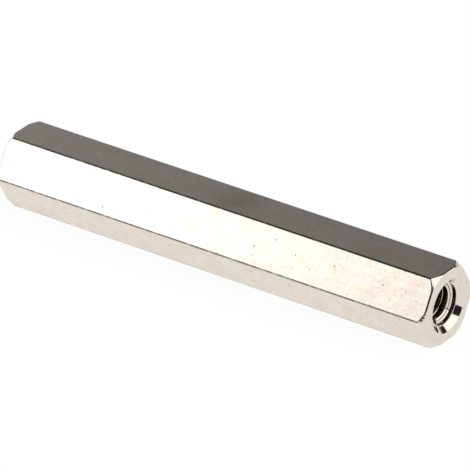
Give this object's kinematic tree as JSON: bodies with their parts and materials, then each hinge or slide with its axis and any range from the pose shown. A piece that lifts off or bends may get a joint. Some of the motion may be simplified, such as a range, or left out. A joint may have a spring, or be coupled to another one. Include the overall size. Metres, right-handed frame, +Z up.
{
  "type": "threaded spacer",
  "caption": "Hexagonal metal spacer bar with turned ends and a countersunk, threaded blind hole in each end.",
  "frame": {"origin": "middle of the flat that the bar rests on, halfway between its ends", "axes": "+X along the bar, from one threaded end to the other; +Z up, out of the upper flat; +Y completes the right-handed frame"},
  "size_m": [0.03, 0.0052, 0.0045],
  "materials": {
    "nickel_plate": "polished"
  },
  "bodies": {
    "root": {"spacer": "nickel_plate"}
  },
  "joints": []
}
